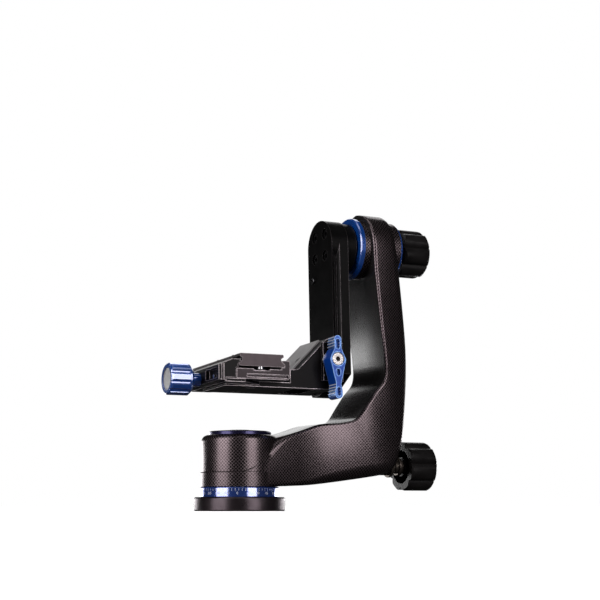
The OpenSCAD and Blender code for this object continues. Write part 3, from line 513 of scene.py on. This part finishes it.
smoothGroup = softShading(edges["sharp"])
for name, (finish, ease) in dressing.items():
    piece = nodes[name]
    for place in piece.material_slots:
        place.material = finishes[finish]
    shading = piece.modifiers.new("softShading", "NODES")
    shading.node_group = smoothGroup
    if ease:
        bevel = piece.modifiers.new("easedEdges", "BEVEL")
        bevel.width, bevel.segments = ease * mm, 2
        bevel.limit_method, bevel.angle_limit = "ANGLE", math.radians(edges["eased"])
        bevel.harden_normals = True
print("solids dressed:", len(dressing))


def addPiece(name, mesh, finish, body):
    piece = bpy.data.objects.new(name, mesh)
    bpy.context.scene.collection.objects.link(piece)
    mesh.materials.append(finishes[finish])
    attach(piece, body)
    return piece


markPaint = Paint("engravedWhite", roughness=0.5)
markPaint.set(baseColor=markPaint.mix(markPaint.step(markPaint.noise(0.8), 0.3, 0.8),
                                      (0.80, 0.83, 0.90), (0.62, 0.67, 0.80)))
finishes["mark"] = markPaint.material


def dialNumbers():  # plain degree numbers, wrapped round the blue ring
    low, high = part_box("scale_ring")
    radius, middle = high.x, (low.z + high.z) / 2 - dial["labelDrop"] * mm
    whole = bmesh.new()
    for degrees in range(0, 360, dial["labelEvery"]):
        text = bpy.data.curves.new("number", "FONT")
        text.body = str(degrees)
        text.size, text.extrude = dial["labelHeight"] * mm, dial["labelThick"] * mm
        text.align_x, text.align_y, text.resolution_u = "CENTER", "CENTER", 3
        holder = bpy.data.objects.new("number", text)
        bpy.context.scene.collection.objects.link(holder)
        bpy.context.view_layer.update()
        finished = holder.evaluated_get(bpy.context.evaluated_depsgraph_get())
        flat = bpy.data.meshes.new_from_object(finished)
        bpy.data.objects.remove(holder)
        first = len(whole.verts)
        whole.from_mesh(flat)
        whole.verts.ensure_lookup_table()
        for v in whole.verts[first:]:
            turn = math.radians(degrees + dial["labelTurn"]) + v.co.x / radius
            out = radius + v.co.z - dial["labelSunk"] * mm
            v.co = Vector((out * math.cos(turn), out * math.sin(turn), middle + v.co.y))
        bpy.data.meshes.remove(flat)
    mesh = bpy.data.meshes.new("dialNumbers")
    whole.to_mesh(mesh)
    whole.free()
    return addPiece("dial_numbers", mesh, "mark", "base")


dialNumbers()
print("dial numbered")


camera = {
    "place": (-0.44164, -1.00196, 0.0045),
    "turn": 26.2,            # degrees clockwise from +Y, seen from above
    "lift": math.degrees(math.atan(205 / 1420)),     # degrees up, a rise of 205 in 1420
    "lens": 85.2,
}
eye = bpy.data.objects.new("camera", bpy.data.cameras.new("camera"))
bpy.context.scene.collection.objects.link(eye)
eye.location = camera["place"]
eye.rotation_euler = (math.pi / 2 + math.radians(camera["lift"]), 0, -math.radians(camera["turn"]))
eye.data.lens, eye.data.sensor_width = camera["lens"], 36.0
eye.data.clip_start, eye.data.clip_end = 0.05, 50
bpy.context.scene.camera = eye

studio = {
    "middle": (0.04, 0.0, 0.10),
    "lights": {  # degrees right of the camera, degrees up, distance, width, height, power, colour
        "left": (-50, 12, 1.2, 0.78, 1.3, 12.0, (1.0, 0.95, 0.97)),
        "right": (37, 10, 1.2, 0.60, 1.2, 8.6, (1.0, 0.95, 0.97)),
        "top": (-30, 80, 1.2, 1.0, 1.0, 3.0, (1.0, 1.0, 1.0)),
        "rimLeft": (-145, -2, 1.0, 0.70, 0.13, 1.5, (1.0, 1.0, 1.0)),
        "rimRight": (146, -3, 1.0, 0.80, 0.08, 1.2, (1.0, 1.0, 1.0)),
        "behind": (179, 28, 1.0, 0.60, 0.85, 2.0, (1.0, 1.0, 1.0)),
    },
    "room": 0.012,           # brightness of the room that the pieces reflect
    "floorTone": 0.06,       # how pale the floor is to the pieces that reflect it
    "floorGrain": ((0.93, 0.93, 0.93), (0.96, 0.96, 0.96)),
    "floorShown": (0.60, 1.0),       # its brightness in the picture, under the piece and far off
    "floorFade": (60, 420),  # millimetres from the hub's axis
    "floorRadius": 6.0,      # metres
    "floorDrop": 0.05,       # millimetres below the base
}
middle = Vector(studio["middle"])
turn = math.radians(camera["turn"])
towards = Vector((-math.sin(turn), -math.cos(turn), 0))
rightward = Vector((math.cos(turn), -math.sin(turn), 0))
for name, (side, up, distance, width, height, power, tone) in studio["lights"].items():
    a, e = math.radians(side), math.radians(up)
    level = towards * math.cos(a) + rightward * math.sin(a)
    way = level * math.cos(e) + Vector((0, 0, math.sin(e)))
    lamp = bpy.data.lights.new(name, "AREA")
    lamp.shape, lamp.size, lamp.size_y = "RECTANGLE", width, height
    lamp.energy, lamp.color = power, tone
    box = bpy.data.objects.new(name, lamp)
    bpy.context.scene.collection.objects.link(box)
    box.location = middle + way * distance
    box.rotation_euler = way.to_track_quat("Z", "Y").to_euler()
    box.visible_camera = False

world = bpy.data.worlds.new("room")
bpy.context.scene.world = world
world.use_nodes = True
tree = world.node_tree
tree.nodes.clear()
seen, lit = tree.nodes.new("ShaderNodeBackground"), tree.nodes.new("ShaderNodeBackground")
seen.inputs[0].default_value, seen.inputs[1].default_value = (1, 1, 1, 1), 1.0
lit.inputs[0].default_value, lit.inputs[1].default_value = (1, 1, 1, 1), studio["room"]
path, blend = tree.nodes.new("ShaderNodeLightPath"), tree.nodes.new("ShaderNodeMixShader")
out = tree.nodes.new("ShaderNodeOutputWorld")
tree.links.new(path.outputs["Is Camera Ray"], blend.inputs[0])
tree.links.new(lit.outputs[0], blend.inputs[1])
tree.links.new(seen.outputs[0], blend.inputs[2])
tree.links.new(blend.outputs[0], out.inputs[0])

floorPaint = Paint("paleFloor", roughness=0.6, specularIorLevel=0.2, emissionStrength=1.0)
fx, fy, fz = floorPaint.axes()
away = floorPaint.step(floorPaint.maths("SQRT", fx * fx + fy * fy), *studio["floorFade"])
shown = [(bright,) * 3 for bright in studio["floorShown"]]
floorPaint.set(baseColor=floorPaint.mix(floorPaint.noise(400), *studio["floorGrain"]),
               emissionColor=floorPaint.mix(away, *shown))
# the pieces reflect a greyer floor than the picture shows
direct = floorPaint.node("LightPath", output="Is Camera Ray")
grey = floorPaint.node("BsdfDiffuse", {}, {"Color": (studio["floorTone"],) * 3})
pale = Wire(floorPaint, floorPaint.shader.outputs[0])
joined = floorPaint.node("MixShader", {}, {0: direct, 1: grey, 2: pale})
floorPaint.tree.links.new(joined.socket, floorPaint.tree.nodes["Material Output"].inputs[0])
disc = bmesh.new()
bmesh.ops.create_circle(disc, cap_ends=True, segments=96, radius=studio["floorRadius"])
floorMesh = bpy.data.meshes.new("floor")
disc.to_mesh(floorMesh)
disc.free()
floorMesh.materials.append(floorPaint.material)
floor = bpy.data.objects.new("floor", floorMesh)
floor.location = (0, 0, -studio["floorDrop"] * mm)
bpy.context.scene.collection.objects.link(floor)
bpy.context.scene.view_settings.view_transform = "Standard"
bpy.context.scene.view_settings.look = "None"
print("studio set")
